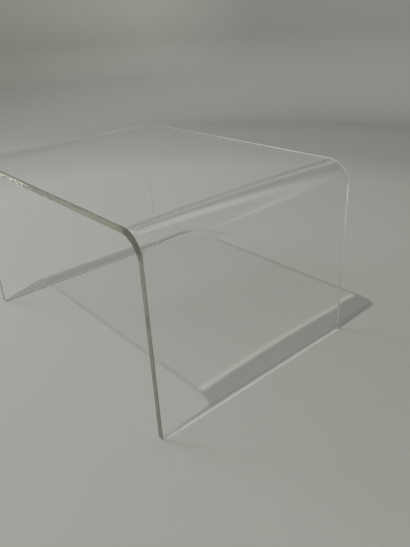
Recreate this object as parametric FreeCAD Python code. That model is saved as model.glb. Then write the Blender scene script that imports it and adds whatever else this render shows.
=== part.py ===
import FreeCAD, Part
import os
from math import cos, pi, sin

# Clear acrylic side table. One thick sheet is heated along two lines and folded down at each end,
# so the top, both bends and both leg panels are a single piece. Four small clear pads stuck to the
# cut ends of the legs keep the sheet off the floor.
# X runs across the table from leg to leg, Y runs from the front cut edge to the back one, Z is up.
# The origin is on the floor, under the middle of the top.

# Driving dimensions in millimetres
table_width = 710.0         # outside of one leg to outside of the other
table_depth = 500.0         # front cut edge to back cut edge
table_height = 388.0        # floor to upper face of the top
sheet_thickness = 12.7
bend_inner_radius = 30.0    # radius of the former that the hot sheet is folded over
arris_radius = 0.8          # rounding that scraping and flame polishing leave on every cut edge
pad_diameter = 9.5
pad_height = 1.6
pad_edge_radius = 0.6       # rounding round the foot of a moulded pad
pad_inset = 35.0            # cut edge to pad centre

# Sizes that follow from the driving dimensions
half_width = table_width / 2
half_depth = table_depth / 2
bend_outer_radius = bend_inner_radius + sheet_thickness
bend_centre_x = half_width - bend_outer_radius
bend_centre_z = table_height - bend_outer_radius
leg_end_z = pad_height
pad_radius = pad_diameter / 2
pad_x = half_width - sheet_thickness / 2
pad_y = half_depth - pad_inset

ROUND_TO = 1e-6


def front_point(x, z):
    """A point of the sheet's outline, in the plane of the front cut edge."""
    return FreeCAD.Vector(x, -half_depth, z)


def bend(side, radius):
    """A quarter circle about the bend on one side, from the leg's tangent to the top's tangent."""
    def at(angle):
        return front_point(side * (bend_centre_x + radius * cos(angle)), bend_centre_z + radius * sin(angle))

    return Part.Arc(at(0), at(pi / 4), at(pi / 2)).toShape()


def straight(start, end):
    """A straight edge of the outline between two (x, z) places."""
    return Part.makeLine(front_point(*start), front_point(*end))


def sheet_outline():
    """The closed arch outline: up the left leg, over the top, down the right leg and back inside."""
    inner_x = half_width - sheet_thickness
    inner_z = table_height - sheet_thickness
    edges = [
        straight((-half_width, leg_end_z), (-half_width, bend_centre_z)),
        bend(-1, bend_outer_radius),
        straight((-bend_centre_x, table_height), (bend_centre_x, table_height)),
        bend(1, bend_outer_radius),
        straight((half_width, bend_centre_z), (half_width, leg_end_z)),
        straight((half_width, leg_end_z), (inner_x, leg_end_z)),
        straight((inner_x, leg_end_z), (inner_x, bend_centre_z)),
        bend(1, bend_inner_radius),
        straight((bend_centre_x, inner_z), (-bend_centre_x, inner_z)),
        bend(-1, bend_inner_radius),
        straight((-inner_x, bend_centre_z), (-inner_x, leg_end_z)),
        straight((-inner_x, leg_end_z), (-half_width, leg_end_z)),
    ]
    return Part.Wire(Part.__sortEdges__(edges))


def is_cut_edge(edge):
    """True for an edge that the saw left: it lies in the front, back or leg-end cut face."""
    box = edge.BoundBox
    in_front = abs(box.YMax + half_depth) < ROUND_TO
    in_back = abs(box.YMin - half_depth) < ROUND_TO
    in_leg_end = abs(box.ZMax - leg_end_z) < ROUND_TO
    return in_front or in_back or in_leg_end


def bent_sheet():
    """The folded sheet: the arch outline carried through the depth, with every cut edge eased."""
    blank = Part.Face(sheet_outline()).extrude(FreeCAD.Vector(0, table_depth, 0))
    cut_edges = [edge for edge in blank.Edges if is_cut_edge(edge)]
    return blank.makeFillet(arris_radius, cut_edges)


def foot_pad(x, y):
    """A moulded disc from the floor up to the leg's cut end, rounded where it meets the floor."""
    disc = Part.makeCylinder(pad_radius, pad_height, FreeCAD.Vector(x, y, 0))
    floor_edge = [edge for edge in disc.Edges if edge.BoundBox.ZMax < ROUND_TO]
    return disc.makeFillet(pad_edge_radius, floor_edge)


os.makedirs("parts", exist_ok=True)
bent_sheet().exportStep("parts/bent_sheet.step")
for side_name, side in (("left", -1), ("right", 1)):
    for end_name, end in (("front", -1), ("back", 1)):
        foot_pad(side * pad_x, end * pad_y).exportStep(f"parts/foot_pad_{side_name}_{end_name}.step")
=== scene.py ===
"""Clear acrylic side table: one thick sheet folded into an arch, standing on four small clear pads."""
from math import pi, radians
import bpy
import numpy as np
from mathutils import Matrix, Vector


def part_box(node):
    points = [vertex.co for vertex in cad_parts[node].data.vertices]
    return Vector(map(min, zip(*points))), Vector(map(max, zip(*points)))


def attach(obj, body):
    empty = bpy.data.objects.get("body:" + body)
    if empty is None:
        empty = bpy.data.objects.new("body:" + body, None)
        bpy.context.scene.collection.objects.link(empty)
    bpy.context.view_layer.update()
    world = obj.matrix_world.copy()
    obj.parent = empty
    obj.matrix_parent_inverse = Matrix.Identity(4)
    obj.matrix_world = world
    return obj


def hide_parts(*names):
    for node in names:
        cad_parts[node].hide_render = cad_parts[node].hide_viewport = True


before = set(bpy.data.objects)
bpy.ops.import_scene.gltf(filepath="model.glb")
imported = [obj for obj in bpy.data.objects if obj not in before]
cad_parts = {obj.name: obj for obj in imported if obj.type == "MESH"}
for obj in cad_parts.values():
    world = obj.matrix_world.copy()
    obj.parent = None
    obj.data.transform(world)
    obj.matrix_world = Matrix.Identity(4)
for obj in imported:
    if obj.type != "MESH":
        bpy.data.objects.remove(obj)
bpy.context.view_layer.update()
scene = bpy.context.scene
scene.view_settings.view_transform = "Standard"
# Light runs along inside the sheet, turning back at its faces many times before it leaves at a cut edge.
scene.cycles.max_bounces = 200
scene.cycles.transmission_bounces = 200
scene.cycles.glossy_bounces = 200
scene.cycles.blur_glossy = 0.0

# Bent sheet
# A rectangle of cast acrylic half an inch thick, heated along two lines and folded over a round former, so
# the top, both bends and both leg panels are one piece. Its cut edges are scraped and lightly polished.
SHEET_THICKNESS = 0.0127
BEND_INNER_RADIUS = 0.030   # of both bends at the front edge
ARRIS_RADIUS = 0.0008
BEND_OPENING = 0.010        # how much larger the right bend's radius is at its loosest place
LOOSEST_PLACE = 0.58        # that place, as a share of the depth from the front edge
SMALLEST_CORNER = 0.00002   # what is left of the section's corner radius at the very end of a leg
HEATED_HALF = 0.0305        # half the breadth of the mark that the strip heater left at each bend
HEATED_FADE = 0.016         # the length over which the mark fades at its ends
HEATER_OFFSET = 0.005       # how much nearer to the top than the bend the mark lies
SWELL = 0.004               # the front edge swells inside each bend, where folding squeezed the hot sheet
SWELL_MARGIN = 0.006        # how far the swelling reaches past a bend
SWELL_RISE = 0.014          # how far into the bend it is full
SWELL_DEPTH = 0.012         # how far in from the front edge it reaches
BEND_STEPS = 48             # facets round each quarter turn
ARRIS_STEPS = 6
LEG_STEPS = 12
TOP_STEPS = 24
ACROSS_STEPS = 20           # facets of a flat face from the front edge to the back edge
EDGE_STEPS = 2              # facets of a cut edge through the thickness

sheet_low, sheet_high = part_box("bent_sheet")
half_width = (sheet_high.x - sheet_low.x) / 2
half_depth = (sheet_high.y - sheet_low.y) / 2
bend_centre_x = half_width - BEND_INNER_RADIUS - SHEET_THICKNESS
bend_centre_z = sheet_high.z - BEND_INNER_RADIUS - SHEET_THICKNESS
middle_radius = BEND_INNER_RADIUS + SHEET_THICKNESS / 2


def smooth_mesh(name, points, faces):
    """A smooth-shaded object of the given points and faces, with its points where they are in the room."""
    mesh = bpy.data.meshes.new(name)
    mesh.from_pydata(points.reshape(-1, 3).tolist(), [], faces)
    mesh.polygons.foreach_set("use_smooth", np.ones(len(faces), bool))
    piece = bpy.data.objects.new(name, mesh)
    scene.collection.objects.link(piece)
    return piece


def ring_faces(rows, columns):
    """Quads between neighbouring rows of points, each row closed into a ring, then a face in the first row
    and one in the last.
    """
    row, column = np.meshgrid(np.arange(rows - 1), np.arange(columns), indexing="ij")
    beside = (column + 1) % columns
    quads = np.stack([row * columns + column, (row + 1) * columns + column,
                      (row + 1) * columns + beside, row * columns + beside], -1)
    first = list(range(columns))
    last = list(range(rows * columns - 1, (rows - 1) * columns - 1, -1))
    return quads.reshape(-1, 4).tolist() + [first, last]


def closer_at_ends(start, end, steps):
    """Places from start to end, spaced as the shadow of points evenly spaced round a half circle."""
    return start + (end - start) * (1 - np.cos(np.linspace(0, pi, steps + 1))) / 2


def arch_stations():
    """Stations along the sheet's middle, from the left leg's end over the top to the right leg's end.

    The middle lies one middle radius outside a three-sided path through the two bend centres. Its outward
    normal points left along the left leg, turns a quarter at each bend centre and points right at the end.
    At the two leg ends the section draws in along a quarter circle, which rounds the arris there. Returns
    the path points, the normal's angle and its tilt towards the floor at the leg ends.
    """
    tilt = np.linspace(pi / 2, 0, ARRIS_STEPS + 1)
    rounding_z = sheet_low.z + ARRIS_RADIUS * (1 - np.sin(tilt))
    leg_z = np.concatenate([rounding_z, closer_at_ends(rounding_z[-1], bend_centre_z, LEG_STEPS)[1:]])
    leg_tilt = np.concatenate([tilt, np.zeros(LEG_STEPS)])
    turn = np.linspace(pi, pi / 2, BEND_STEPS + 1)[1:]
    top_x = closer_at_ends(-bend_centre_x, bend_centre_x, TOP_STEPS)[1:]
    over_the_top = len(turn) + len(top_x) + len(turn)
    x = np.concatenate([np.full(len(leg_z) + len(turn), -bend_centre_x), top_x,
                        np.full(len(turn) + len(leg_z) - 1, bend_centre_x)])
    z = np.concatenate([leg_z, np.full(over_the_top, bend_centre_z), leg_z[-2::-1]])
    angle = np.concatenate([np.full(len(leg_z), pi), turn, np.full(len(top_x), pi / 2),
                            turn - pi / 2, np.zeros(len(leg_z) - 1)])
    tilts = np.concatenate([leg_tilt, np.zeros(over_the_top), leg_tilt[-2::-1]])
    return x[:, None], z[:, None], angle[:, None], tilts[:, None]


def rounded_section(tilts):
    """The sheet's cross-section, a thin rectangle with quarter-round corners, drawn in where the end tilts.

    Corner by corner the normal's angle runs through a quarter turn; the straight sides between the corners
    are divided more closely near them. Returns the offset through the thickness, the place along the depth,
    the normal's angle and how near the point is to the inside, from 0 to 1.
    """
    side_steps = (ACROSS_STEPS, EDGE_STEPS, ACROSS_STEPS, EDGE_STEPS)
    angles, high_share, deep_share = [], [], []
    corners = [(1, 1), (-1, 1), (-1, -1), (1, -1)]
    for turn, (high, deep) in enumerate(corners):
        next_high, next_deep = corners[(turn + 1) % 4]
        arc = np.linspace(turn * pi / 2, (turn + 1) * pi / 2, ARRIS_STEPS + 1)
        share = closer_at_ends(0, 1, side_steps[(turn + 1) % 4])[1:-1]
        angles += [arc, np.full(len(share), arc[-1])]
        high_share += [np.full(len(arc), high), high + (next_high - high) * share]
        deep_share += [np.full(len(arc), deep), deep + (next_deep - deep) * share]
    angle, high, deep = (np.concatenate(part) for part in (angles, high_share, deep_share))
    radius = SMALLEST_CORNER + (ARRIS_RADIUS - SMALLEST_CORNER) * np.cos(tilts)
    offset = high * (SHEET_THICKNESS / 2 - ARRIS_RADIUS) + radius * np.cos(angle)
    along = deep * (half_depth - ARRIS_RADIUS) + radius * np.sin(angle)
    return offset, along, angle, (1 - high) / 2


path_x, path_z, path_angle, end_tilt = arch_stations()
out_x, out_z = np.cos(path_angle), np.sin(path_angle)
middle_x, middle_z = path_x + middle_radius * out_x, path_z + middle_radius * out_z
lengths = np.hypot(np.diff(middle_x, axis=0), np.diff(middle_z, axis=0))
sheet_run = np.concatenate([[[0.0]], np.cumsum(lengths, axis=0)])
leg_run = bend_centre_z - sheet_low.z
half_bend = middle_radius * pi / 4
mid_bend = leg_run + half_bend
from_end = np.minimum(sheet_run, sheet_run[-1] - sheet_run)
into_bend = half_bend - np.abs(from_end - mid_bend)
into_heat = HEATED_HALF - np.abs(from_end - mid_bend - HEATER_OFFSET)
heated = np.clip(0.5 + into_heat / HEATED_FADE, 0, 1)

# The swelling rises along the sheet as a smooth step and falls away from the cut edge as a square.
offset, along, section_angle, inner_share = rounded_section(end_tilt)
rise = np.clip((into_bend + SWELL_MARGIN) / (SWELL_MARGIN + SWELL_RISE), 0, 1)
swelling = -SWELL * rise ** 2 * (3 - 2 * rise)
near_edge = np.clip(1 - (half_depth + along) / SWELL_DEPTH, 0, 1)
swell_slope = -2 * swelling * near_edge * inner_share / SWELL_DEPTH

# The right bend is looser behind its front edge. Its radius follows a parabola over the depth, and its
# centre moves in by what the radius gains, so the top and the leg stay flat.
tighter = 1 - (half_depth + along) / (2 * half_depth * LOOSEST_PLACE)
right_half = path_x > 0
opened = right_half * BEND_OPENING * (1 - tighter ** 2)
opening_slope = right_half * BEND_OPENING * tighter / (half_depth * LOOSEST_PLACE)
centre_x = path_x * (1 - opened / bend_centre_x)
centre_z = sheet_low.z + (path_z - sheet_low.z) * (1 - opened / leg_run)

# Points, the surface's own normals at them, and marks for the material to read
reach = middle_radius + opened + offset + swelling * near_edge ** 2 * inner_share
lean_across = opening_slope * (1 - np.abs(out_x) - np.abs(out_z)) + swell_slope
lean_along = np.gradient(swelling[:, 0], sheet_run[:, 0])[:, None] * near_edge ** 2 * inner_share
sheet_points = np.stack([centre_x + out_x * reach, along, centre_z + out_z * reach], -1)
through = np.cos(end_tilt) * np.cos(section_angle)
sideways = np.cos(end_tilt) * np.sin(section_angle)
downward = np.sin(end_tilt)
sheet_normals = np.stack([through * (out_x - out_z * lean_along), sideways - through * lean_across,
                          through * (out_z + out_x * lean_along) - downward], -1)
sheet_normals /= np.linalg.norm(sheet_normals, axis=-1, keepdims=True)
sheet = smooth_mesh("bent_sheet_clear", sheet_points, ring_faces(*offset.shape))
sheet.data.normals_split_custom_set_from_vertices(sheet_normals.reshape(-1, 3).tolist())
everywhere = np.ones_like(offset)
for name, values in (("side_edge", sideways), ("leg_end", downward), ("bend", heated), ("run", sheet_run),
                     ("inside", inner_share)):
    mark = sheet.data.attributes.new(name, "FLOAT", "POINT")
    mark.data.foreach_set("value", (values * everywhere).ravel())


def linear(hex_colour):
    """A colour for a shader socket from an sRGB hex value such as #b0b4ad."""
    channels = [int(hex_colour[i:i + 2], 16) / 255 for i in (1, 3, 5)]
    return [c / 12.92 if c <= 0.04045 else ((c + 0.055) / 1.055) ** 2.4 for c in channels] + [1.0]


def node(tree, kind, settings=None, **links):
    """Adds one shader node. Settings fill its own fields and sockets; links join other nodes to them.

    A link may be an output, or a whole node, which gives its first output. _0, _1 and so on count sockets.
    """
    made = tree.nodes.new("ShaderNode" + kind)
    for name, value in (settings or {}).items():
        if isinstance(name, int) or name in made.inputs:
            made.inputs[name].default_value = value
        else:
            setattr(made, name, value)
    for name, source in links.items():
        socket = int(name[1:]) if name[1:].isdigit() else name.replace("_", " ")
        if isinstance(source, bpy.types.Node):
            source = next(output for output in source.outputs if output.enabled)
        tree.links.new(source, made.inputs[socket])
    return made


def empty_material(name):
    """A material with no nodes but its output."""
    material = bpy.data.materials.new(name)
    material.use_nodes = True
    tree = material.node_tree
    tree.nodes.clear()
    return material, tree, tree.nodes.new("ShaderNodeOutputMaterial")


SAW_MARK = 0.002            # spacing of the marks that the saw left across a cut edge
CHIP_BREADTH = 0.005        # breadth and length of the flakes broken out of a knocked edge
CHIP_LENGTH = 0.012
WIPE_WIDTH = 0.005          # breadth and length of the faint streaks that a cloth leaves
WIPE_LENGTH = 0.25
MIRRORED_FINISH = 0.06      # how much an edge's marks, tint and roughness count in its inner mirror images
MIRRORED_FROST = 0.07       # how frosted a hazy edge looks in them
# Places along the sheet, measured over it from the left leg's end
CHIPS_START = (0.45, 0.55)  # the front edge is knocked from here
CHIPS_END = (0.64, 0.88)    # to here
HAZY_RUN = (0.50, 0.90)     # the back edge grows hazy along here
CLEARING_LENGTH = 0.22      # and clears again down this length of the right leg
FOOT_LENGTH = 0.17          # the length of the right leg over which piped light comes out
left_bend_run = (leg_run, leg_run + 2 * half_bend)
whole_run = float(sheet_run[-1, 0])
right_leg_run = (whole_run - leg_run, whole_run)
right_bend_run = (right_leg_run[0] - 2 * half_bend, right_leg_run[0])
clearing_run = (right_leg_run[0], right_leg_run[0] + CLEARING_LENGTH)
foot_run = (right_leg_run[1] - FOOT_LENGTH, right_leg_run[1])


def over(stretch, low, high):
    """Settings of a map range that goes from low to high over a stretch, and stays level outside it."""
    return {"From Min": stretch[0], "From Max": stretch[1], "To Min": low, "To Max": high}


# Cast acrylic is water clear with gloss faces. A cut edge looks along half a metre of it and past the
# scraped face at the far side; its dim olive grey is painted shade in the edge's colour, and the bends
# are painted dimmer still. A hazy edge goes white.
acrylic, tree, output = empty_material("clear cast acrylic")
side_edge, leg_end, bend, run, inside = (node(tree, "Attribute", {"attribute_name": name}).outputs["Fac"]
                                         for name in ("side_edge", "leg_end", "bend", "run", "inside"))
side_cut = node(tree, "Math", {"operation": "ABSOLUTE"}, _0=side_edge)
front_cut = node(tree, "Math", {"operation": "MULTIPLY", 1: -1.0, "use_clamp": True}, _0=side_edge)
cut_edge = node(tree, "Math", {"operation": "MAXIMUM"}, _0=side_cut, _1=leg_end)
place = node(tree, "TexCoord").outputs["Object"]
facing = node(tree, "LayerWeight", {"Blend": 0.5}).outputs["Facing"]
rays = node(tree, "LightPath")
mirror_ray = rays.outputs["Is Reflection Ray"]
# The faces mirror the edges over and over from inside. The finish of an edge counts little in those images,
# and there the edge is painted a plain pale grey in place of its painted shade, more so where it is hazy.
direct = node(tree, "MapRange", over((0, 1), 1.0, MIRRORED_FINISH), Value=mirror_ray)
seen_cut = node(tree, "Math", {"operation": "MULTIPLY"}, _0=cut_edge, _1=direct)
growing = node(tree, "MapRange", over(HAZY_RUN, 0.3, 1.0), Value=run)
hazy_cut = node(tree, "Math", {"operation": "MULTIPLY"}, _0=cut_edge, _1=growing)
inner_cut = node(tree, "Math", {"operation": "MULTIPLY"}, _0=hazy_cut, _1=mirror_ray)

# Painted shade in the colour of the cut edges: pale at the top of the right leg, darker to its foot, in the
# bends and at the upper arris
down_leg = node(tree, "MapRange", over(right_leg_run, 0.0, 1.0), Value=run)
painted_leg_tints = {"data_type": "RGBA", 6: linear("#e4e5d9"), 7: linear("#a8aa9b")}
painted_leg_shade = node(tree, "Mix", painted_leg_tints, _0=down_leg)
on_leg = node(tree, "MapRange", over(right_bend_run, 0.0, 1.0), Value=run)
painted_cut_shade = node(tree, "Mix", {"data_type": "RGBA", 6: linear("#c0c1ad")}, _0=on_leg, _7=painted_leg_shade)
painted_bend_shade = node(tree, "Mix", {"data_type": "RGBA", 7: linear("#636655")}, _0=bend, _6=painted_cut_shade)
# The upper arris is painted darker, as painted shade.
painted_rim_shade = node(tree, "MapRange", over((0.0, 0.4), 0.5, 0.0), Value=inside)
painted_edge_shade = node(tree, "Mix", {"data_type": "RGBA", 7: linear("#6a6c5e")}, _0=painted_rim_shade, _6=painted_bend_shade)

# Finish: saw marks and scraping on the cut edges, blisters where they were heated, and cloth streaks on the
# faces
sawn = node(tree, "TexNoise", {"noise_dimensions": "1D", "Scale": 1 / SAW_MARK, "Detail": 2.0}, W=run)
sawn_edge = node(tree, "Math", {"operation": "MULTIPLY"}, _0=sawn, _1=seen_cut)
marks = node(tree, "Bump", {"Strength": 0.15, "Distance": 0.0002}, Height=sawn_edge)
wiped = node(tree, "Mapping", {"Scale": (1 / WIPE_LENGTH, 1 / WIPE_WIDTH, 1 / WIPE_LENGTH)}, Vector=place)
streaks = node(tree, "TexNoise", {"Scale": 1.0, "Detail": 3.0}, Vector=wiped)
gloss = node(tree, "MapRange", over((0.5, 0.8), 0.0, 0.04), Value=streaks)
face = node(tree, "MapRange", {"To Max": 0.05}, Value=bend, To_Min=gloss)
scraped = node(tree, "MapRange", over((0.3, 0.7), 0.1, 0.2), Value=sawn)
blistered = node(tree, "MapRange", {"To Max": 0.4}, Value=bend, To_Min=scraped)
dull = node(tree, "MapRange", over(HAZY_RUN, 0.6, 0.3), Value=run)
edge = node(tree, "MapRange", Value=side_edge, To_Min=blistered, To_Max=dull)
roughness = node(tree, "MapRange", Value=seen_cut, To_Min=face, To_Max=edge)

# Haze on the back edge, which shows at a glancing angle, and chips along the lower side of the front edge
glancing = node(tree, "MapRange", over((0.3, 0.55), 0.0, 1.0), Value=facing)
clearing = node(tree, "MapRange", over(clearing_run, 1.0, 0.4), Value=run)
hazy_top = node(tree, "Math", {"operation": "MINIMUM"}, _0=growing, _1=clearing)
hazy_leg = node(tree, "MapRange", over((0.0, left_bend_run[1]), 0.6, 0.3), Value=run)
hazy = node(tree, "Math", {"operation": "MAXIMUM"}, _0=hazy_top, _1=hazy_leg)
back_cut = node(tree, "Math", {"operation": "MULTIPLY", "use_clamp": True}, _0=side_edge, _1=glancing)
hazy_back = node(tree, "Math", {"operation": "MULTIPLY"}, _0=back_cut, _1=hazy)
haze = node(tree, "Math", {"operation": "MULTIPLY"}, _0=hazy_back, _1=direct)
flake_scale = (1 / CHIP_LENGTH, 1 / CHIP_BREADTH, 1 / CHIP_BREADTH)
flakes = node(tree, "Mapping", {"Scale": flake_scale}, Vector=place)
flaky = node(tree, "TexNoise", {"Scale": 1.0, "Detail": 2.0}, Vector=flakes)
spared = node(tree, "MapRange", over(CHIPS_END, 0.0, -0.5), Value=run)
broken = node(tree, "Math", {"operation": "ADD"}, _0=flaky, _1=spared)
flaked = node(tree, "MapRange", over((0.37, 0.56), 0.0, 0.95), Value=broken)
knocked = node(tree, "MapRange", over(CHIPS_START, 0.0, 1.0), Value=run)
lower_side = node(tree, "MapRange", over((0.1, 0.3), 0.0, 1.0), Value=inside)
knocked_edge = node(tree, "Math", {"operation": "MULTIPLY"}, _0=front_cut, _1=knocked)
knocked_side = node(tree, "Math", {"operation": "MULTIPLY"}, _0=knocked_edge, _1=lower_side)
chips = node(tree, "Math", {"operation": "MULTIPLY"}, _0=knocked_side, _1=flaked)
dimmed = node(tree, "Math", {"operation": "MULTIPLY", 1: MIRRORED_FROST}, _0=inner_cut)
marred = node(tree, "Math", {"operation": "MAXIMUM"}, _0=haze, _1=chips)
frost = node(tree, "Math", {"operation": "MAXIMUM"}, _0=marred, _1=dimmed)
clarity = node(tree, "Math", {"operation": "SUBTRACT", 0: 1.0}, _1=frost)
clear_cut = node(tree, "Math", {"operation": "SUBTRACT", "use_clamp": True}, _0=seen_cut, _1=frost)
frosted = node(tree, "Mix", {"data_type": "RGBA", 6: linear("#ffffff"), 7: linear("#e9e1c6")}, _0=chips)
outer_colour = node(tree, "Mix", {"data_type": "RGBA"}, _0=clear_cut, _6=frosted, _7=painted_edge_shade)
# In the inner mirror images the cut edges take a painted lighter tone, a painted reflection.
colour = node(tree, "Mix", {"data_type": "RGBA", 7: linear("#c4c5bd")}, _0=inner_cut, _6=outer_colour)
shell = node(tree, "BsdfPrincipled", {"IOR": 1.49}, Base_Color=colour, Roughness=roughness,
             Transmission_Weight=clarity, Normal=marks)
body = node(tree, "VolumeAbsorption", {"Color": linear("#e6e8d0"), "Density": 0.2})

# Lamp light goes straight through a face, less what the face mirrors, which is most of it at a glancing
# angle. Bends spread it and cut edges turn it aside, so they leave shadows on the floor. Some of what
# enters at the top is piped down the right leg and leaves at its foot.
FACE_PASSES = 0.96          # the share of lamp light that goes on through a face met squarely
BEND_PASSES = 0.52          # through the middle of a bend
FRONT_PASSES = 0.35         # through the front cut edge
BACK_PASSES = 0.15          # through the back cut edge
END_PASSES = (0.4, 1.5)     # and out of the left and right leg ends
PIPED_GAIN = 3.0            # what leaves at a glancing angle near the right leg's foot
GATHERED_GAIN = 1.4         # what the start of a bend gathers beside its shadow
mirrored = node(tree, "Math", {"operation": "POWER", 1: 5.0}, _0=facing)
passed = node(tree, "Math", {"operation": "MULTIPLY_ADD", 1: -FACE_PASSES, 2: FACE_PASSES}, _0=mirrored)
grazing = node(tree, "MapRange", over((0.955, 0.975), 0.0, 1.0), Value=facing)
at_foot = node(tree, "MapRange", over(foot_run, 0.0, 1.0), Value=run)
leaving = node(tree, "Math", {"operation": "MULTIPLY"}, _0=grazing, _1=at_foot)
piped = node(tree, "MapRange", {"To Max": PIPED_GAIN}, Value=leaving, To_Min=passed)
gathered = node(tree, "MapRange", over((0.0, 0.3), 1.0, GATHERED_GAIN), Value=bend)
beside_bends = node(tree, "Math", {"operation": "MULTIPLY"}, _0=piped, _1=gathered)
past_bends = node(tree, "MapRange", {"From Min": 0.3, "From Max": 0.7, "To Max": BEND_PASSES}, Value=bend,
                  To_Min=beside_bends)
past_front = node(tree, "MapRange", {"To Max": FRONT_PASSES}, Value=front_cut, To_Min=past_bends)
past_edges = node(tree, "MapRange", {"To Max": BACK_PASSES}, Value=side_edge, To_Min=past_front)
foot_light = node(tree, "MapRange", over((0.0, whole_run), *END_PASSES), Value=run)
past_ends = node(tree, "MapRange", Value=leg_end, To_Min=past_edges, To_Max=foot_light)
let_through = node(tree, "BsdfTransparent", Color=past_ends)
lit = node(tree, "MixShader", _0=rays.outputs["Is Shadow Ray"], _1=shell, _2=let_through)
tree.links.new(lit.outputs["Shader"], output.inputs["Surface"])
tree.links.new(body.outputs["Volume"], output.inputs["Volume"])
sheet.data.materials.append(acrylic)
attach(sheet, "root")
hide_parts("bent_sheet")

# Foot pads
# Four small clear polyurethane pads, moulded as discs with a rounded foot and stuck to the cut ends of the
# legs, so that the sheet neither scratches the floor nor slides on it.
PAD_EDGE_RADIUS = 0.0006
PAD_DISH = 0.0001           # how far the middle of the foot is drawn up as the resin cools
PAD_SEAT = 0.00002          # the glue line under the leg
PAD_AROUND = 48
PAD_EDGE_STEPS = 8
PAD_FOOT_STEPS = 4
SHARP_ANGLE = 40            # degrees between faces, past which the shading breaks
POLE = 0.0002               # radius of the flat that closes each face in the middle
BLOOM = 0.002               # breadth of the cloudy places in the resin's bloom

# Soft clear resin shows a satin bloom, a little uneven from handling.
clear_resin, tree, output = empty_material("clear polyurethane resin")
bloom = node(tree, "TexNoise", {"Scale": 1 / BLOOM, "Detail": 2.0},
             Vector=node(tree, "TexCoord").outputs["Object"])
satin = node(tree, "MapRange", over((0.0, 1.0), 0.15, 0.35), Value=bloom)
resin = node(tree, "BsdfPrincipled",
             {"Base Color": linear("#f3f4ee"), "IOR": 1.5, "Transmission Weight": 1.0}, Roughness=satin)
tree.links.new(resin.outputs["BSDF"], output.inputs["Surface"])


def pad_surface(low, high):
    """A disc as a surface of revolution: flat seat, upright side, quarter-round edge and dished foot.

    The profile runs from the middle of the seat out to the side, down and back in to the middle of the
    foot. The dish rises as the square of the distance from its rim.
    """
    radius, seat = (high.x - low.x) / 2, high.z - PAD_SEAT
    rim = radius - PAD_EDGE_RADIUS
    slope = np.linspace(0, -pi / 2, PAD_EDGE_STEPS + 1)
    inward = np.linspace(rim, POLE, PAD_FOOT_STEPS + 1)[1:]
    r = np.concatenate([[POLE, radius], rim + PAD_EDGE_RADIUS * np.cos(slope), inward])
    z = np.concatenate([[seat, seat], low.z + PAD_EDGE_RADIUS * (1 + np.sin(slope)),
                        low.z + PAD_DISH * (1 - inward / rim) ** 2])
    around = np.linspace(0, 2 * pi, PAD_AROUND, endpoint=False)
    middle = (low + high) / 2
    points = np.stack([middle.x + r[:, None] * np.cos(around), middle.y + r[:, None] * np.sin(around),
                       np.repeat(z[:, None], PAD_AROUND, 1)], -1)
    return points, ring_faces(len(r), PAD_AROUND)


for side in ("left", "right"):
    for end in ("front", "back"):
        cad_pad = f"foot_pad_{side}_{end}"
        pad = smooth_mesh(cad_pad + "_clear", *pad_surface(*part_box(cad_pad)))
        pad.data.set_sharp_from_angle(angle=radians(SHARP_ANGLE))
        pad.data.materials.append(clear_resin)
        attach(pad, "root")
        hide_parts(cad_pad)

# Floor and backdrop
# A pale grey sweep: level round the table and turned up into a wall well away from it on every side. Its
# paint carries painted light: pale round the table, painted shade in mid grey away from it, pale again up
# the wall, and paler still up the left wall.
FLOOR_RADIUS = 2.4
FLOOR_MIDDLE = 0.01         # radius of the flat that closes the floor in the middle
FLOOR_RINGS = 12
SWEEP_RADIUS = 0.5
SWEEP_STEPS = 24            # facets of the turn up into the wall
SWEEP_AROUND = 96
WALL_TOP = 0.82
# The paint's pale ring round the table and its mid grey beyond are a painted pool of light and painted
# shade.
PALE_FLOOR = (1.25, 1.65)   # the distance from the table over which the paint turns from pale to mid grey
PALE_WALL = (2.4, 2.95)     # and back to pale up the wall
PALER_WALL = (2.85, 2.98)   # the distance over which the left wall turns paler still
LEFT_WALL = (-1.85, -2.35)  # the places across the room between which it becomes the left wall
sweep_turn = np.linspace(0, pi / 2, SWEEP_STEPS + 1)[1:]
level_r = np.linspace(FLOOR_MIDDLE, FLOOR_RADIUS, FLOOR_RINGS)
turned_r = FLOOR_RADIUS + SWEEP_RADIUS * np.sin(sweep_turn)
profile_r = np.concatenate([level_r, turned_r, [FLOOR_RADIUS + SWEEP_RADIUS]])
profile_z = np.concatenate([np.zeros(FLOOR_RINGS), SWEEP_RADIUS * (1 - np.cos(sweep_turn)), [WALL_TOP]])
slope = np.concatenate([np.zeros(FLOOR_RINGS), sweep_turn, [pi / 2]])
around = np.linspace(0, 2 * pi, SWEEP_AROUND, endpoint=False)
sweep_points = np.stack([profile_r[:, None] * np.cos(around), profile_r[:, None] * np.sin(around),
                         np.repeat(profile_z[:, None], SWEEP_AROUND, 1)], -1)
lean_in = -np.sin(slope)[:, None]
sweep_normals = np.stack([lean_in * np.cos(around), lean_in * np.sin(around),
                          np.repeat(np.cos(slope)[:, None], SWEEP_AROUND, 1)], -1)
# The last face, which would close the wall's top, is left out.
sweep = smooth_mesh("floor_sweep", sweep_points, ring_faces(len(profile_r), SWEEP_AROUND)[:-1])
sweep.data.normals_split_custom_set_from_vertices(sweep_normals.reshape(-1, 3).tolist())
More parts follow.
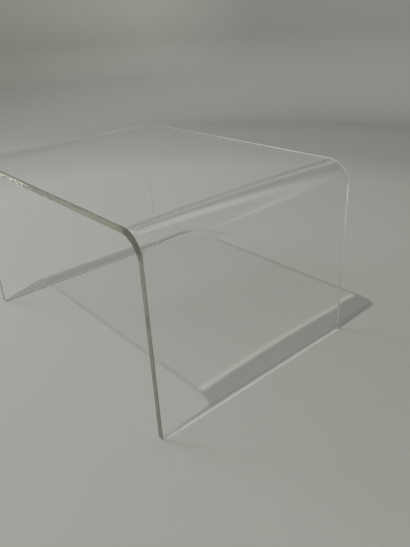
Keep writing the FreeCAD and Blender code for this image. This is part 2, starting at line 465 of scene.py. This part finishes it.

# Floor paint is matt and shows no grain at this distance. Its pale and mid grey tones are painted light and
# shade.
paint, tree, output = empty_material("floor paint with painted light")
on_floor = node(tree, "TexCoord").outputs["Object"]
outward = node(tree, "VectorMath", {"operation": "LENGTH"}, _0=on_floor)
off_floor = node(tree, "MapRange", over(PALE_FLOOR, 0.0, 1.0), Value=outward)
off_wall = node(tree, "MapRange", over(PALE_WALL, 1.0, 0.0), Value=outward)
painted_shade_share = node(tree, "Math", {"operation": "MINIMUM"}, _0=off_floor, _1=off_wall)
light_pool_tints = {"data_type": "RGBA", 6: linear("#9f9e96"), 7: linear("#94938c")}
painted_light_pool = node(tree, "Mix", light_pool_tints, _0=painted_shade_share)
across_room = node(tree, "SeparateXYZ", _0=on_floor)
to_left = node(tree, "MapRange", over(LEFT_WALL, 0.0, 1.0), Value=across_room.outputs["X"])
up_wall = node(tree, "MapRange", over(PALER_WALL, 0.0, 1.0), Value=outward)
painted_wall_light = node(tree, "Math", {"operation": "MULTIPLY"}, _0=to_left, _1=up_wall)
# The paler left wall is painted light.
shade = node(tree, "Mix", {"data_type": "RGBA", 7: linear("#b8b7ad")}, _0=painted_wall_light, _6=painted_light_pool)
matt = node(tree, "BsdfPrincipled", {"Roughness": 0.9, "Specular IOR Level": 0.2}, Base_Color=shade)
tree.links.new(matt.outputs["BSDF"], output.inputs["Surface"])
sweep.data.materials.append(paint)

# Light
# A ceiling lamp in front throws the soft-edged shadows and a broad panel to the left fills them; neither is
# mirrored in the sheet. The room all round is grey, paler to the left and darker overhead, with a window, a
# row of tubes and a pale stretch of ceiling that show in the sheet, and a darker foot at the back.
LAMP_PLACE = Vector((0.457, -2.286, 6.25))
LAMP_SIZE = 0.178
LAMP_WATTS = 190.0
LAMP_COLOUR = "#ffffff"
PANEL_PLACE = Vector((-3.4, -1.8, 2.6))
PANEL_SIZE = 2.2
PANEL_WATTS = 160.0
PANEL_COLOUR = "#eaf2ff"
ROOM_GREY = 0.31
ROOM_LEAN = (-0.048, -0.036, -0.1)      # change of the room's grey along each axis
ROOM_FOOT = (0.19, 0.26)    # upward share of the directions over which the room's darker foot ends
ROOM_BACK = (-0.3, 0.3)     # backward share of the directions over which that foot begins
ROOM_FOOT_GAIN = -0.1
TUBES_ACROSS = (-0.488, 0.673, -0.557)  # square to the row of tubes, from back right to front left
TUBES_HALF_WIDTH = 0.1
TUBES_GAIN = 1.1
TUBES_END = (0.62, 0.76)    # the row dims away over this stretch of directions towards the back
TUBES_END_GAIN = 0.2
CEILING_WAY = (-0.24, 0.68, 0.69)       # towards the middle of the pale stretch of ceiling
CEILING_GAIN = 0.12
CEILING_EDGE = (0.90, 0.97)  # cosines of the angles from its middle where it ends and is full
WINDOW_WAY = (-0.775, 0.503, 0.382)     # towards the middle of the window, at the back left
WINDOW_GAIN = 0.08
WINDOW_EDGE = (0.88, 0.99)  # cosines of the angles from its middle where its light ends and is full


def disk_lamp(name, place, size, watts, colour):
    """A round lamp of the given colour that faces the origin and doesn't show in the sheet."""
    data = bpy.data.lights.new(name, "AREA")
    data.shape = "DISK"
    data.size = size
    data.energy = watts
    data.color = linear(colour)[:3]
    lamp = bpy.data.objects.new(name, data)
    lamp.matrix_world = Matrix.Translation(place) @ place.to_track_quat("Z", "Y").to_matrix().to_4x4()
    lamp.visible_camera = False
    lamp.visible_transmission = False
    lamp.visible_glossy = False
    scene.collection.objects.link(lamp)


disk_lamp("ceiling_lamp", LAMP_PLACE, LAMP_SIZE, LAMP_WATTS, LAMP_COLOUR)
disk_lamp("side_panel", PANEL_PLACE, PANEL_SIZE, PANEL_WATTS, PANEL_COLOUR)
world = bpy.data.worlds.new("room")
world.use_nodes = True
world.cycles.sampling_method = "NONE"
scene.world = world
tree = world.node_tree
way = node(tree, "TexCoord").outputs["Generated"]
axes = node(tree, "SeparateXYZ", _0=way)
lean = node(tree, "VectorMath", {"operation": "DOT_PRODUCT", 1: ROOM_LEAN}, _0=way)
walls = node(tree, "Math", {"operation": "ADD", 1: ROOM_GREY}, _0=lean)
behind = node(tree, "MapRange", over(ROOM_BACK, 0.0, ROOM_FOOT_GAIN), Value=axes.outputs["Y"])
foot = node(tree, "MapRange", {"From Min": ROOM_FOOT[0], "From Max": ROOM_FOOT[1], "To Max": 0.0},
            Value=axes.outputs["Z"], To_Min=behind)
footed_walls = node(tree, "Math", {"operation": "ADD"}, _0=walls, _1=foot)
to_window = node(tree, "VectorMath", {"operation": "DOT_PRODUCT", 1: WINDOW_WAY}, _0=way)
window = node(tree, "MapRange", over(WINDOW_EDGE, 0.0, WINDOW_GAIN), Value=to_window)
lit_walls = node(tree, "Math", {"operation": "ADD"}, _0=footed_walls, _1=window)
to_ceiling = node(tree, "VectorMath", {"operation": "DOT_PRODUCT", 1: CEILING_WAY}, _0=way)
ceiling = node(tree, "MapRange", over(CEILING_EDGE, 0.0, CEILING_GAIN), Value=to_ceiling)
lit_room = node(tree, "Math", {"operation": "ADD"}, _0=lit_walls, _1=ceiling)
off_tubes = node(tree, "VectorMath", {"operation": "DOT_PRODUCT", 1: TUBES_ACROSS}, _0=way)
beside_tubes = node(tree, "Math", {"operation": "ABSOLUTE"}, _0=off_tubes)
gain = node(tree, "MapRange", over(TUBES_END, TUBES_GAIN, TUBES_END_GAIN), Value=axes.outputs["Y"])
tubes_fade = {"interpolation_type": "SMOOTHSTEP", "From Max": TUBES_HALF_WIDTH, "To Max": 0.0}
tubes = node(tree, "MapRange", tubes_fade, Value=beside_tubes, To_Min=gain)
grey = node(tree, "Math", {"operation": "ADD"}, _0=lit_room, _1=tubes)
room = tree.nodes["Background"]
room.inputs["Color"].default_value = linear("#fcfdf5")
tree.links.new(grey.outputs["Value"], room.inputs["Strength"])

# Camera
# Where the photograph was taken from, in front of the right leg and a little above the top. The focal
# length in pixels belongs to a frame whose long side has the pixels below.
CAMERA_PLACE = (0.9384, -0.6182, 0.6646)
CAMERA_YAW, CAMERA_PITCH, CAMERA_ROLL = 50.378, -26.656, -3.102
FOCAL_PIXELS = 522.73
FRAME_LONG_SIDE = 547
camera_data = bpy.data.cameras.new("camera")
camera_data.lens = FOCAL_PIXELS / FRAME_LONG_SIDE * camera_data.sensor_width
camera = bpy.data.objects.new("camera", camera_data)
camera.matrix_world = (Matrix.Translation(CAMERA_PLACE) @ Matrix.Rotation(radians(CAMERA_YAW), 4, "Z")
                       @ Matrix.Rotation(radians(90 + CAMERA_PITCH), 4, "X")
                       @ Matrix.Rotation(radians(CAMERA_ROLL), 4, "Z"))
scene.collection.objects.link(camera)
scene.camera = camera
